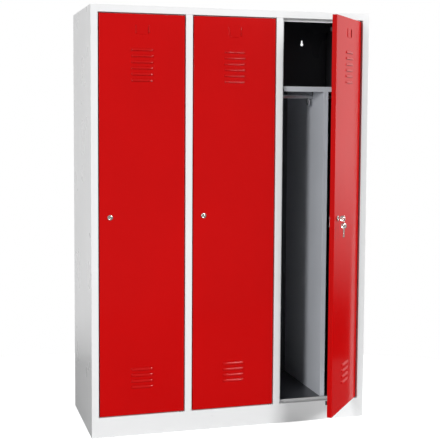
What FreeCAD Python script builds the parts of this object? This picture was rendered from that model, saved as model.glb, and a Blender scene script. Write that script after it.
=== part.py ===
import FreeCAD, Part
import os
from types import SimpleNamespace
import Sketcher
from FreeCAD import Placement, Rotation, Vector

# Clothing locker with three bays, folded and welded from thin steel sheet.
# X runs along the front, Y from the front to the back, Z up. The origin is on the floor,
# in the middle of the front face. Lengths are in millimetres, angles in degrees.

BAYS = (1, 2, 3)
MIDDLE_BAY = 2
SIDES = (-1, 1)
LEFT_HAND = 1
RIGHT_HAND = -1
POINT_GAP = 1e-6
OCTAGON = 2 - 2 ** 0.5  # part of a square's half width that each corner loses to make it eight-sided

SIZES = {
    # Carcass
    "body_height": 1800,
    "body_depth": 500,
    "bay_pitch": 400,
    "stile_width": 30,
    "top_rail": 30,
    "plinth_height": 86,
    "sheet": 0.8,
    "bend": 1.0,
    "fold_lap": 3,
    "rebate_depth": 28,
    "stop_width": 12,
    "sill_rise": 10,
    "rear_flange": 15,
    "foot_flange": 25,
    "weld_flange": 12,
    "sheet_lap": 10,
    # Wall fixing holes in the back
    "keyhole_spread": 980,
    "keyhole_drop": 104,
    "keyhole_radius": 7,
    "keyhole_rise": 20,
    "keyhole_slot": 7,
    # Hat shelf and divider
    "shelf_drop": 320,
    "shelf_setback": 32,
    "shelf_lip": 22,
    "shelf_return": 10,
    "shelf_end_gap": 6,
    "divider_offset": 19.5,
    "divider_setback": 35,
    "divider_edge": 21,
    "divider_return": 12,
    "groove_width": 3,
    "groove_depth": 1.5,
    # Clothes rail and hooks
    "rail_drop": 42,
    "rail_setback": 170,
    "rail_radius": 8,
    "rail_hole_gap": 0.3,
    "rail_end_gap": 0.3,
    "cradle_wall": 3,
    "cradle_lip": 2,
    "cradle_depth": 12,
    "hook_width": 6,
    "hook_wall": 3,
    "hook_bevel": 5,
    "hook_drop": 38,
    "hook_reach": 16,
    "hook_thickness": 5,
    "hook_rise": 22,
    "hook_left": -2,
    "hook_right": 120,
    "slide_gap": 0.08,
    # Door and its pivots
    "door_thickness": 20,
    "door_gap": 4.5,
    "door_lip": 15,
    "door_round": 1.8,
    "hinge_inset": 15,
    "hinge_setback": 8,
    "pin_radius": 3,
    "pin_reach": 5,
    "collar_width": 9,
    "bush_width": 10,
    "bush_length": 6,
    "bush_flange_width": 14,
    "bush_flange": 1,
    "pivot_gap": 0.05,
    "thrust_gap": 0.1,
    "stiffener_width": 30,
    "stiffener_depth": 13,
    "stiffener_flange": 15,
    "stiffener_rise": 239.5,
    "stiffener_drop": 315.5,
    "buffer_width": 8,
    "buffer_height": 16,
    "buffer_edge": 4.5,
    "buffer_gap": 0.3,
    "buffer_level": 60,
    "door_1_open": 0,
    "door_2_open": 0,
    "door_3_open": 50,
    # Pressed louvres and label holder
    "louvre_length": 88,
    "louvre_height": 9,
    "louvre_depth": 5.5,
    "louvre_shoulder": 5,
    "louvre_shoulder_depth": 4,
    "louvre_end": 10,
    "louvre_pitch": 25,
    "upper_louvre_drop": 273.5,
    "upper_louvres": 6,
    "lower_louvre_rise": 114.5,
    "lower_louvres": 4,
    "holder_drop": 62.5,
    "holder_height": 34,
    "holder_spread": 50,
    "holder_reach": 4,
    "holder_depth": 2.4,
    "holder_end": 4,
    # Cam lock
    "lock_edge": 44.5,
    "lock_face_radius": 11,
    "lock_face": 3,
    "lock_barrel_radius": 9,
    "lock_flats": 15,
    "lock_barrel": 26,
    "plug_radius": 6,
    "plug_tail": 8,
    "cam_gap": 0.8,
    "cam_thickness": 2.5,
    "cam_width": 16,
    "cam_length": 45,
    "cam_bevel": 5,
    "clip_thickness": 2,
    "clip_margin": 5,
    "keyway_width": 2.2,
    "keyway_height": 8,
    "keyway_depth": 16,
    # Keys and ring
    "key_thickness": 2,
    "key_blade": 7.5,
    "key_shank": 7,
    "key_bow_half": 12,
    "key_bow_bevel": 6,
    "key_hole_radius": 2.5,
    "key_hole_offset": 6,
    "key_length": 38,
    "key_play": 0.5,
    "ring_radius": 11,
    "ring_wire": 1.6,
}

doc = FreeCAD.newDocument("clothing_locker")
sheet = doc.addObject("Spreadsheet::Sheet", "size")
for row, (alias, amount) in enumerate(SIZES.items(), start=1):
    sheet.set(f"A{row}", alias)
    sheet.set(f"B{row}", str(amount))
    sheet.setAlias(f"B{row}", alias)
doc.recompute()


class Size:
    """An amount, kept together with the expression of the sheet that gives it."""

    def __init__(self, text, value):
        self.text = text
        self.value = value

    def __add__(self, other):
        other = as_size(other)
        return Size(f"({self.text} + {other.text})", self.value + other.value)

    def __sub__(self, other):
        other = as_size(other)
        return Size(f"({self.text} - {other.text})", self.value - other.value)

    def __mul__(self, other):
        other = as_size(other)
        return Size(f"({self.text} * {other.text})", self.value * other.value)

    def __truediv__(self, other):
        other = as_size(other)
        return Size(f"({self.text} / {other.text})", self.value / other.value)

    def __neg__(self):
        return Size(f"(0 - {self.text})", -self.value)

    def __radd__(self, other):
        return as_size(other) + self

    def __rsub__(self, other):
        return as_size(other) - self

    def __rmul__(self, other):
        return as_size(other) * self


def as_size(amount):
    """A size as it is, or a plain number as a size."""
    return amount if isinstance(amount, Size) else Size(f"({amount:.12g})", float(amount))


size = SimpleNamespace(**{alias: Size(f"size.{alias}", sheet.get(alias)) for alias in SIZES})

# Places that several pieces share, worked out from the sheet
HALF_WIDTH = (len(BAYS) * size.bay_pitch + size.stile_width) / 2
INNER_HALF = HALF_WIDTH - size.sheet
FRONT_HALF = HALF_WIDTH - size.stile_width + size.fold_lap
HALF_OPENING = (size.bay_pitch - size.stile_width) / 2
OPENING_TOP = size.body_height - size.top_rail
STOP_TOP = OPENING_TOP - size.stop_width
FLOOR_TOP = size.plinth_height + size.sill_rise
BACK_FACE = size.body_depth - 2 * size.sheet
KEYHOLE_LEVEL = size.body_height - size.keyhole_drop
SHELF_LEVEL = size.body_height - size.shelf_drop
SHELF_FOOT = SHELF_LEVEL - size.shelf_lip
RAIL_LEVEL = SHELF_LEVEL - size.rail_drop
RAIL_HOLE = size.rail_radius + size.rail_hole_gap
DOOR_LEFT = size.hinge_inset + size.door_gap - 2 * HALF_OPENING
DOOR_RIGHT = size.hinge_inset - size.door_gap
DOOR_MIDDLE = (DOOR_LEFT + DOOR_RIGHT) / 2
DOOR_FRONT = -size.hinge_setback
DOOR_BACK = size.door_thickness - size.hinge_setback
SKIN_BACK = DOOR_FRONT + size.sheet
DOOR_FOOT = size.plinth_height + size.door_gap
DOOR_TOP = OPENING_TOP - size.door_gap
UPPER_LOUVRES = DOOR_TOP - size.upper_louvre_drop
LOWER_LOUVRES = DOOR_FOOT + size.lower_louvre_rise
HOLDER_LEVEL = DOOR_TOP - size.holder_drop
STOP_FACE = size.rebate_depth - size.hinge_setback
LOCK_X = DOOR_LEFT + size.lock_edge
LOCK_LEVEL = (DOOR_FOOT + DOOR_TOP) / 2
LOCK_FRONT = DOOR_FRONT - size.lock_face
CAM_FRONT = STOP_FACE + size.sheet + size.cam_gap
CAM_BACK = CAM_FRONT + size.cam_thickness
KEY_HOLE_Y = LOCK_FRONT - size.key_shank - size.key_bow_half - size.key_hole_offset
RING_TOP = LOCK_LEVEL - size.key_hole_radius + size.ring_wire / 2 + size.key_play
RING_FOOT = RING_TOP - 2 * size.ring_radius
SPARE_HOLE = RING_FOOT - size.key_hole_radius + size.ring_wire / 2 + size.key_play

nodes = []


def bind(item, name, amount):
    """Ties a property to the expression of a size."""
    item.setExpression(name, as_size(amount).text)


def vector(u, v):
    """The point of a sketch at two sizes."""
    return Vector(as_size(u).value, as_size(v).value, 0)


def bay_centre(bay):
    """X of the middle of a bay."""
    return (bay - MIDDLE_BAY) * size.bay_pitch


def bay_walls(bay):
    """X of the two inner wall faces of a bay; a partition lies to the right of its own line."""
    first, last = BAYS[0], BAYS[-1]
    left = -INNER_HALF if bay == first else bay_centre(bay) - size.bay_pitch / 2 + size.sheet
    right = INNER_HALF if bay == last else bay_centre(bay) + size.bay_pitch / 2
    return left, right


def hinge_line(bay):
    """X of the upright axis that a bay's door turns on."""
    return bay_centre(bay) + HALF_OPENING - size.hinge_inset


def new_body(label):
    """An empty body that becomes one node of the locker."""
    body = doc.addObject("PartDesign::Body", label)
    body.Label = label
    nodes.append(body)
    return body


def hang(body, bay):
    """Places a piece that was drawn about its door's axis, with the door as far open as the sheet says."""
    body.Placement = Placement(Vector(), Rotation(Vector(0, 0, 1), 1))
    bind(body, "Placement.Base.x", hinge_line(bay))
    bind(body, "Placement.Base.y", size.hinge_setback)
    bind(body, "Placement.Rotation.Angle", getattr(size, f"door_{bay}_open"))


def new_sketch(body, plane, origin=(0, 0, 0)):
    """A sketch on one of the body's origin planes, its own origin moved by three sizes."""
    support = [feature for feature in body.Origin.OriginFeatures if feature.Role == plane][0]
    sketch = body.newObject("Sketcher::SketchObject", "sketch")
    sketch.AttachmentSupport = [(support, "")]
    sketch.MapMode = "FlatFace"
    for axis, amount in zip("xyz", origin):
        bind(sketch, f"AttachmentOffset.Base.{axis}", amount)
    return sketch


def hold(sketch, kind, items, amount):
    """One dimension of a sketch, tied to a size."""
    index = sketch.addConstraint(Sketcher.Constraint(kind, *items, as_size(amount).value))
    bind(sketch, f"Constraints[{index}]", amount)


def hold_point(sketch, geometry, end, place):
    """Holds one point of a line, arc or circle at a pair of sizes."""
    hold(sketch, "DistanceX", (-1, 1, geometry, end), place[0])
    hold(sketch, "DistanceY", (-1, 1, geometry, end), place[1])


def stepped(place, direction, distance):
    """A pair of sizes moved by a distance along a direction."""
    return tuple(start + amount * distance for start, amount in zip(place, direction))


def outline(sketch, corners):
    """Closed outline through corners (u, v) or (u, v, radius), where a square corner may be rounded."""
    places = [corner[:2] for corner in corners]
    points = [vector(u, v) for u, v in places]
    count = len(corners)
    runs = [points[(i + 1) % count] - points[i] for i in range(count)]
    for run in runs:
        run.normalize()
    entries, exits = [], []
    for i, corner in enumerate(corners):
        if len(corner) == 2:
            entries.append((points[i], None))
            exits.append((points[i], None))
            continue
        arriving, leaving = runs[i - 1], runs[i]
        radius = corner[2].value
        start, finish = points[i] - arriving * radius, points[i] + leaving * radius
        centre = start + leaving * radius
        turns_left = arriving.cross(leaving).z > 0
        first, last = (start, finish) if turns_left else (finish, start)
        circle = Part.Circle(centre, Vector(0, 0, 1), radius)
        span = [circle.parameter(point) for point in (first, last)]
        arc = sketch.addGeometry(Part.ArcOfCircle(circle, *span))
        ends = (1, 2) if turns_left else (2, 1)
        heading = [(round(run.x), round(run.y)) for run in (arriving, leaving)]
        before = (-heading[0][0], -heading[0][1])
        hold_point(sketch, arc, ends[0], stepped(places[i], before, corner[2]))
        hold_point(sketch, arc, ends[1], stepped(places[i], heading[1], corner[2]))
        hold(sketch, "Radius", (arc,), corner[2])
        entries.append((start, (arc, ends[0])))
        exits.append((finish, (arc, ends[1])))
    links = []
    for i in range(count):
        j = (i + 1) % count
        (from_point, from_end), (to_point, to_end) = exits[i], entries[j]
        if from_point.distanceToPoint(to_point) < POINT_GAP:
            continue
        line = sketch.addGeometry(Part.LineSegment(from_point, to_point))
        if from_end:
            links.append((from_end, (line, 1)))
        else:
            hold_point(sketch, line, 1, places[i])
            exits[i] = (from_point, (line, 1))
        if to_end:
            links.append(((line, 2), to_end))
        else:
            entries[j] = (to_point, (line, 2))
    for i, corner in enumerate(corners):
        if len(corner) == 2:
            links.append((entries[i][1], exits[i][1]))
    for (one, one_end), (other, other_end) in links:
        sketch.addConstraint(Sketcher.Constraint("Coincident", one, one_end, other, other_end))


def circles(sketch, *rings):
    """Circles (u, v, radius), held at their sizes."""
    for u, v, radius in rings:
        index = sketch.addGeometry(Part.Circle(vector(u, v), Vector(0, 0, 1), radius.value))
        hold_point(sketch, index, 3, (u, v))
        hold(sketch, "Radius", (index,), radius)


def rectangle(u_low, v_low, u_high, v_high, radius=None):
    """Four corners of a rectangle, square or rounded."""
    corners = [(u_low, v_low), (u_high, v_low), (u_high, v_high), (u_low, v_high)]
    return [corner + (radius,) for corner in corners] if radius else corners


def bevelled(u, v, half, bevel):
    """Corners of a square with bevelled corners about a point."""
    inner = half - bevel
    ring = [
        (-inner, -half),
        (inner, -half),
        (half, -inner),
        (half, inner),
        (inner, half),
        (-inner, half),
        (-half, inner),
        (-half, -inner),
    ]
    return [(u + across, v + along) for across, along in ring]


def double_d(sketch, radius, flats):
    """Round outline about the sketch's origin with an upright flat on each side."""
    half = flats.value / 2
    rise = (radius.value ** 2 - half ** 2) ** 0.5
    circle = Part.Circle(Vector(), Vector(0, 0, 1), radius.value)
    corners = [Vector(half, rise), Vector(-half, rise), Vector(-half, -rise), Vector(half, -rise)]
    angles = [circle.parameter(corner) for corner in corners]
    crown = sketch.addGeometry(Part.ArcOfCircle(circle, angles[0], angles[1]))
    left = sketch.addGeometry(Part.LineSegment(corners[1], corners[2]))
    bowl = sketch.addGeometry(Part.ArcOfCircle(circle, angles[2], angles[3]))
    right = sketch.addGeometry(Part.LineSegment(corners[3], corners[0]))
    loop = [crown, left, bowl, right]
    for one, other in zip(loop, loop[1:] + loop[:1]):
        sketch.addConstraint(Sketcher.Constraint("Coincident", one, 2, other, 1))
    for arc in (crown, bowl):
        hold_point(sketch, arc, 3, (0, 0))
        hold(sketch, "Radius", (arc,), radius)
    for line, side in ((left, -1), (right, 1)):
        sketch.addConstraint(Sketcher.Constraint("Vertical", line))
        hold(sketch, "DistanceX", (-1, 1, line, 1), side * flats / 2)


def folded(path, hand, rounded):
    """Corners of a folded sheet: the path of one face, and that face's copy one sheet to the left or right.

    The bends named in rounded have the sheet's bend radius on the hollow side."""
    points = [vector(u, v) for u, v in path]
    runs = [(b - a).normalize() for a, b in zip(points, points[1:])]
    normals = [(round(-run.y) * hand, round(run.x) * hand) for run in runs]
    face, back = [], []
    for i, place in enumerate(path):
        beside = [normals[k] for k in (i - 1, i) if 0 <= k < len(normals)]
        offset = beside[0]
        if len(beside) == 2:
            offset = (beside[0][0] + beside[1][0], beside[0][1] + beside[1][1])
        twin = stepped(place, offset, size.sheet)
        if i in rounded:
            hollow_back = runs[i - 1].cross(runs[i]).z * hand > 0
            radii = (size.bend + size.sheet, size.bend)
            place += (radii[0 if hollow_back else 1],)
            twin += (radii[1 if hollow_back else 0],)
        face.append(place)
        back.append(twin)
    return face + back[::-1]


def pad(body, sketch, length):
    """A pad along the sketch's normal."""
    feature = body.newObject("PartDesign::Pad", "pad")
    feature.Profile = sketch
    bind(feature, "Length", length)
    return feature


def cut(body, sketch, depth, along_normal=False):
    """A pocket against the sketch's normal, or along it; it has to take something away."""
    doc.recompute()
    before = body.Shape.Volume
    feature = body.newObject("PartDesign::Pocket", "pocket")
    feature.Profile = sketch
    bind(feature, "Length", depth)
    feature.Reversed = along_normal
    doc.recompute()
    if not body.Shape.Volume < before:
        raise RuntimeError(f"a pocket in {body.Label} cuts nothing")
    return feature


def slab(body, plane, corners, start, length):
    """A pad of a closed outline that starts at a distance from an origin plane."""
    sketch = new_sketch(body, plane, (0, 0, start))
    outline(sketch, corners)
    return pad(body, sketch, length)


def fold(body, plane, path, hand, start, length, rounded=()):
    """A folded sheet, drawn as the path of its seen face and padded to its length."""
    return slab(body, plane, folded(path, hand, rounded), start, length)


def disc(body, plane, rings, start, length):
    """A round pad, or a ring where two circles are given."""
    sketch = new_sketch(body, plane, (0, 0, start))
    circles(sketch, *rings)
    return pad(body, sketch, length)


def side_panel(label, side):
    """Outer wall: rear flange, wall and front stile in one sheet, the door rebate folded into it."""
    body = new_body(label)
    hand = -side * LEFT_HAND

    def inset(distance):
        return side * (HALF_WIDTH - distance)

    wall = [
        (inset(size.rear_flange), size.body_depth),
        (inset(0), size.body_depth),
        (inset(0), 0),
        (inset(size.stile_width - size.fold_lap), 0),
    ]
    fold(body, "XY_Plane", wall, hand, 0, size.body_height, rounded=(2,))
    jamb = [
        (inset(size.stile_width - 2 * size.fold_lap), 0),
        (inset(size.stile_width), 0),
        (inset(size.stile_width), size.rebate_depth - size.fold_lap),
    ]
    height = OPENING_TOP - size.plinth_height
    fold(body, "XY_Plane", jamb, hand, size.plinth_height, height, rounded=(1,))
    stop = [
        (inset(size.stile_width), size.rebate_depth - 2 * size.fold_lap),
        (inset(size.stile_width), size.rebate_depth),
        (inset(size.stile_width + size.stop_width), size.rebate_depth),
    ]
    fold(body, "XY_Plane", stop, hand, FLOOR_TOP, STOP_TOP - FLOOR_TOP)


def mullion(label, line):
    """Hat section between two door openings; its brims are the door stops."""
    body = new_body(label)
    left, right = line - size.stile_width / 2, line + size.stile_width / 2
    jambs = [
        (left, size.rebate_depth - size.fold_lap),
        (left, 0),
        (right, 0),
        (right, size.rebate_depth - size.fold_lap),
    ]
    height = OPENING_TOP - size.plinth_height
    fold(body, "XY_Plane", jambs, LEFT_HAND, size.plinth_height, height, rounded=(1, 2))
    for edge, side in ((left, -1), (right, 1)):
        brim = [
            (edge, size.rebate_depth - 2 * size.fold_lap),
            (edge, size.rebate_depth),
            (edge + side * size.stop_width, size.rebate_depth),
        ]
        hand = side * LEFT_HAND
        fold(body, "XY_Plane", brim, hand, FLOOR_TOP, STOP_TOP - FLOOR_TOP)


def partition(label, line):
    """Single sheet between two bays, flanged to the mullion in front and to the back panel."""
    body = new_body(label)
    flange_end = line + size.weld_flange
    edge = [
        (flange_end, size.sheet),
        (line, size.sheet),
        (line, size.rebate_depth + size.sheet_lap),
    ]
    fold(body, "XY_Plane", edge, RIGHT_HAND, FLOOR_TOP, STOP_TOP - FLOOR_TOP)
    web = rectangle(
        line,
        size.rebate_depth + size.fold_lap,
        line + size.sheet,
        BACK_FACE - size.sheet_lap,
    )
    slab(body, "XY_Plane", web, FLOOR_TOP, size.body_height - size.sheet - FLOOR_TOP)
    tail = [
        (line, BACK_FACE - 2 * size.sheet_lap),
        (line, BACK_FACE),
        (flange_end, BACK_FACE),
    ]
    height = size.body_height - size.rear_flange - FLOOR_TOP
    fold(body, "XY_Plane", tail, RIGHT_HAND, FLOOR_TOP, height)


def back_panel(label):
    """Flat back with a foot flange and two keyholes for wall screws."""
    body = new_body(label)
    path = [
        (BACK_FACE + size.sheet - size.foot_flange, 0),
        (BACK_FACE + size.sheet, 0),
        (BACK_FACE + size.sheet, size.body_height),
    ]
    fold(body, "YZ_Plane", path, LEFT_HAND, -INNER_HALF, 2 * INNER_HALF)
    plane = -(BACK_FACE - size.sheet_lap)
    depth = 2 * size.sheet_lap
    for side in SIDES:
        across = side * size.keyhole_spread / 2
        hole = new_sketch(body, "XZ_Plane", (0, 0, plane))
        circles(hole, (across, KEYHOLE_LEVEL, size.keyhole_radius))
        cut(body, hole, depth)
        slot = new_sketch(body, "XZ_Plane", (0, 0, plane))
        half, top = size.keyhole_slot / 2, KEYHOLE_LEVEL + size.keyhole_rise
        corners = rectangle(across - half, KEYHOLE_LEVEL, across + half, top)
        outline(slot, corners[:2] + [corner + (half,) for corner in corners[2:]])
        cut(body, slot, depth)


def pivot_holes(body, level):
    """Square holes for the door bushes in a ledge at this level."""
    half = size.bush_width / 2
    for bay in BAYS:
        origin = (hinge_line(bay), size.hinge_setback, level + size.bush_length)
        sketch = new_sketch(body, "XY_Plane", origin)
        outline(sketch, rectangle(-half, -half, half, half))
        cut(body, sketch, 2 * size.bush_length)


def roof_panel(label):
    """Top sheet with a rear flange, and the top rail, ledge and door stop folded into its front edge."""
    body = new_body(label)
    top = [
        (BACK_FACE, size.body_height - size.rear_flange),
        (BACK_FACE, size.body_height),
        (size.sheet, size.body_height),
    ]
    fold(body, "YZ_Plane", top, LEFT_HAND, -INNER_HALF, 2 * INNER_HALF)
    rail = [
        (size.sheet_lap, size.body_height),
        (0, size.body_height),
        (0, OPENING_TOP),
        (size.rebate_depth, OPENING_TOP),
        (size.rebate_depth, STOP_TOP),
    ]
    fold(body, "YZ_Plane", rail, LEFT_HAND, -FRONT_HALF, 2 * FRONT_HALF, rounded=(1, 2))
    pivot_holes(body, OPENING_TOP)


def floor_panel(label):
    """Locker floor, resting on the plinth in front and flanged to the back panel."""
    body = new_body(label)
    path = [
        (BACK_FACE, FLOOR_TOP - size.rear_flange),
        (BACK_FACE, FLOOR_TOP),
        (size.rebate_depth, FLOOR_TOP),
    ]
    fold(body, "YZ_Plane", path, LEFT_HAND, -INNER_HALF, 2 * INNER_HALF)


def plinth_front(label):
    """Front of the plinth, with a foot flange, the lower ledge and the sill that carries the floor."""
    body = new_body(label)
    seat = FLOOR_TOP - size.sheet
    path = [
        (size.foot_flange, 0),
        (0, 0),
        (0, size.plinth_height),
        (size.rebate_depth, size.plinth_height),
        (size.rebate_depth, seat),
        (size.rebate_depth + size.weld_flange, seat),
    ]
    fold(body, "YZ_Plane", path, RIGHT_HAND, -FRONT_HALF, 2 * FRONT_HALF, rounded=(2,))
    pivot_holes(body, size.plinth_height)


def hat_shelf(label, bay):
    """Shelf across a bay, stiffened by a lip with a return along its front edge."""
    body = new_body(label)
    left, right = bay_walls(bay)
    tray = rectangle(
        size.shelf_setback + size.fold_lap,
        SHELF_LEVEL - size.sheet,
        BACK_FACE - size.sheet,
        SHELF_LEVEL,
    )
    slab(body, "YZ_Plane", tray, left, right - left)
    lip = [
        (size.shelf_setback + size.shelf_return, SHELF_FOOT),
        (size.shelf_setback, SHELF_FOOT),
        (size.shelf_setback, SHELF_LEVEL),
        (size.shelf_setback + 2 * size.fold_lap, SHELF_LEVEL),
    ]
    half = HALF_OPENING - size.stop_width - size.shelf_end_gap
    start = bay_centre(bay) - half
    fold(body, "YZ_Plane", lip, RIGHT_HAND, start, 2 * half)


def divider(label, bay):
    """Upright sheet welded to the back, with a grooved box fold in front and a slot for the rail."""
    body = new_body(label)
    near, front = bay_centre(bay) + size.divider_offset, size.divider_setback
    far = near + size.divider_edge
    middle = near + size.divider_edge / 2
    groove = [middle + side * size.groove_width / 2 for side in SIDES]
    groove_floor = size.divider_setback + size.groove_depth
    edge = [
        (near, size.divider_setback + 2 * size.sheet_lap),
        (near, front),
        (groove[0], front),
        (groove[0], groove_floor),
        (groove[1], groove_floor),
        (groove[1], front),
        (far, front),
        (far, size.divider_setback + size.divider_return),
    ]
    height = SHELF_FOOT - FLOOR_TOP
    fold(body, "XY_Plane", edge, LEFT_HAND, FLOOR_TOP, height)
    web = rectangle(near, size.divider_setback + size.sheet_lap, near + size.sheet, BACK_FACE)
    slab(body, "XY_Plane", web, FLOOR_TOP, SHELF_LEVEL - size.sheet - FLOOR_TOP)
    slot = new_sketch(body, "YZ_Plane", (size.rail_setback, RAIL_LEVEL, near + size.sheet_lap))
    rim = SHELF_LEVEL - RAIL_LEVEL
    outline(slot, [
        (-RAIL_HOLE, rim),
        (-RAIL_HOLE, -RAIL_HOLE, RAIL_HOLE),
        (RAIL_HOLE, -RAIL_HOLE, RAIL_HOLE),
        (RAIL_HOLE, rim),
    ])
    cut(body, slot, 2 * size.sheet_lap)


def clothes_rail(label, bay):
    """Round bar under the shelf, from wall to wall through the divider."""
    left, right = bay_walls(bay)
    bar = [(size.rail_setback, RAIL_LEVEL, size.rail_radius)]
    start = left + size.rail_end_gap
    disc(new_body(label), "YZ_Plane", bar, start, right - size.rail_end_gap - start)


def rail_brackets(label, bay):
    """Two open cradles on the bay's walls that take the ends of the rail from above."""
    body = new_body(label)
    left, right = bay_walls(bay)
    seat, half = size.rail_radius, size.rail_radius + size.cradle_wall
    flat = seat - OCTAGON * seat
    for start in (left, right - size.cradle_depth):
        sketch = new_sketch(body, "YZ_Plane", (size.rail_setback, RAIL_LEVEL, start))
        outline(sketch, [
            (-half, -half),
            (half, -half),
            (half, size.cradle_lip),
            (seat, size.cradle_lip),
            (seat, -flat),
            (flat, -seat),
            (-flat, -seat),
            (-seat, -flat),
            (-seat, size.cradle_lip),
            (-half, size.cradle_lip),
        ])
        pad(body, sketch, size.cradle_depth)


def coat_hook(label, bay, offset):
    """Double hook, bent from a bar, that slides along the rail on a closed eye of eight sides."""
    body = new_body(label)
    start = bay_centre(bay) + offset - size.hook_width / 2
    eye = new_sketch(body, "YZ_Plane", (size.rail_setback, RAIL_LEVEL, start))
    for half in (size.rail_radius + size.hook_wall, size.rail_radius + size.slide_gap):
        outline(eye, bevelled(0, 0, half, OCTAGON * half))
    pad(body, eye, size.hook_width)
    foot = -size.hook_drop
    tip, throat = foot + size.hook_rise, foot + size.hook_thickness
    outer = size.hook_reach
    inner = size.hook_reach - size.hook_thickness
    prongs = new_sketch(body, "YZ_Plane", (size.rail_setback, RAIL_LEVEL, start))
    outline(prongs, [
        (-outer, tip),
        (-outer, foot + size.hook_bevel),
        (size.hook_bevel - outer, foot),
        (outer - size.hook_bevel, foot),
        (outer, foot + size.hook_bevel),
        (outer, tip),
        (inner, tip),
        (inner, throat + size.hook_bevel),
        (inner - size.hook_bevel, throat),
        (size.hook_bevel - inner, throat),
        (-inner, throat + size.hook_bevel),
        (-inner, tip),
    ])
    pad(body, prongs, size.hook_width)
    half = size.hook_thickness / 2
    shank = new_sketch(body, "YZ_Plane", (size.rail_setback, RAIL_LEVEL, start))
    outline(shank, rectangle(-half, foot + half, half, -size.rail_radius - size.hook_wall / 2))
    pad(body, shank, size.hook_width)


def hinge_bushes(label, bay):
    """Square plastic bushes in the ledges above and below a door, each with its flange towards the door."""
    body = new_body(label)
    steps = [
        (OPENING_TOP, size.bush_length, size.bush_width),
        (OPENING_TOP - size.bush_flange, size.bush_flange, size.bush_flange_width),
        (size.plinth_height - size.bush_length, size.bush_length, size.bush_width),
        (size.plinth_height, size.bush_flange, size.bush_flange_width),
    ]
    for start, length, width in steps:
        half = width / 2
        sketch = new_sketch(body, "XY_Plane", (hinge_line(bay), size.hinge_setback, start))
        outline(sketch, rectangle(-half, -half, half, half))
        circles(sketch, (0, 0, size.pin_radius + size.pivot_gap))
        pad(body, sketch, length)


def hinge_pins(label, bay):
    """Pivot studs welded to a door's top and bottom flanges; the lower one's square collar carries the door."""
    body = new_body(label)
    shaft, half = [(0, 0, size.pin_radius)], size.collar_width / 2
    disc(body, "XY_Plane", shaft, DOOR_TOP, OPENING_TOP + size.pin_reach - DOOR_TOP)
    collar = size.plinth_height + size.bush_flange + size.thrust_gap
    slab(body, "XY_Plane", rectangle(-half, -half, half, half), collar, DOOR_FOOT - collar)
    pin_foot = size.plinth_height - size.pin_reach
    disc(body, "XY_Plane", shaft, pin_foot, collar - pin_foot)
    hang(body, bay)


def door_skin(label, bay):
    """Door pan: one sheet folded back on four sides, with pressed louvres and a pressed label holder."""
    body = new_body(label)
    slab(
        body,
        "XZ_Plane",
        rectangle(DOOR_LEFT, DOOR_FOOT, DOOR_RIGHT, DOOR_TOP),
        -DOOR_BACK,
        size.door_thickness,
    )
    doc.recompute()
    block = body.Tip
    front = DOOR_FRONT.value
    edges = [
        f"Edge{i}"
        for i, edge in enumerate(block.Shape.Edges, start=1)
        if all(abs(vertex.Y - front) < POINT_GAP for vertex in edge.Vertexes)
        and edge.BoundBox.ZLength > edge.BoundBox.XLength
    ]
    rounding = body.newObject("PartDesign::Fillet", "rounding")
    rounding.Base = (block, edges)
    bind(rounding, "Radius", size.door_round)
    press(body, "PartDesign::AdditiveLoft", 0)
    cavity = new_sketch(body, "XZ_Plane", (0, 0, -(DOOR_BACK - size.sheet)))
    inner = [
        DOOR_LEFT + size.sheet,
        DOOR_FOOT + size.sheet,
        DOOR_RIGHT - size.sheet,
        DOOR_TOP - size.sheet,
    ]
    outline(cavity, rectangle(*inner))
    cut(body, cavity, size.door_thickness - 2 * size.sheet, along_normal=True)
    window = new_sketch(body, "XZ_Plane", (0, 0, -DOOR_BACK))
    inner = [
        DOOR_LEFT + size.door_lip,
        DOOR_FOOT + size.door_lip,
        DOOR_RIGHT - size.door_lip,
        DOOR_TOP - size.door_lip,
    ]
    outline(window, rectangle(*inner))
    cut(body, window, size.sheet, along_normal=True)
    press(body, "PartDesign::SubtractiveLoft", size.sheet)
    lock_hole = new_sketch(body, "XZ_Plane", (LOCK_X, LOCK_LEVEL, 0))
    double_d(lock_hole, size.lock_barrel_radius, size.lock_flats)
    cut(body, lock_hole, size.door_thickness, along_normal=True)
    hang(body, bay)


def press(body, kind, wall):
    """Presses the louvres and the label holder out of a door's skin, or hollows them to the given wall."""
    half, lean = size.louvre_length / 2, size.louvre_end / size.louvre_depth
    for group, level in (("upper", UPPER_LOUVRES), ("lower", LOWER_LOUVRES)):
        levels = [
            (level, size.louvre_depth),
            (level + size.louvre_shoulder, size.louvre_shoulder_depth),
            (level + size.louvre_height, 0),
        ]
        pressed = hood(body, kind, "XY_Plane", DOOR_MIDDLE, levels, half, lean, wall)
        pattern = body.newObject("PartDesign::LinearPattern", "row")
        pattern.Originals = [pressed]
        pattern.Direction = (pressed.Profile[0], ["N_Axis"])
        count = getattr(size, f"{group}_louvres")
        bind(pattern, "Occurrences", count)
        bind(pattern, "Length", size.louvre_pitch * (count - 1))
        body.Tip = pattern
    half, lean = size.holder_height / 2, size.holder_end / size.holder_depth
    for side in SIDES:
        across = DOOR_MIDDLE + side * size.holder_spread / 2
        levels = [(across, size.holder_depth), (across + side * size.holder_reach, 0)]
        hood(body, kind, "YZ_Plane", HOLDER_LEVEL, levels, half, lean, wall)


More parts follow.
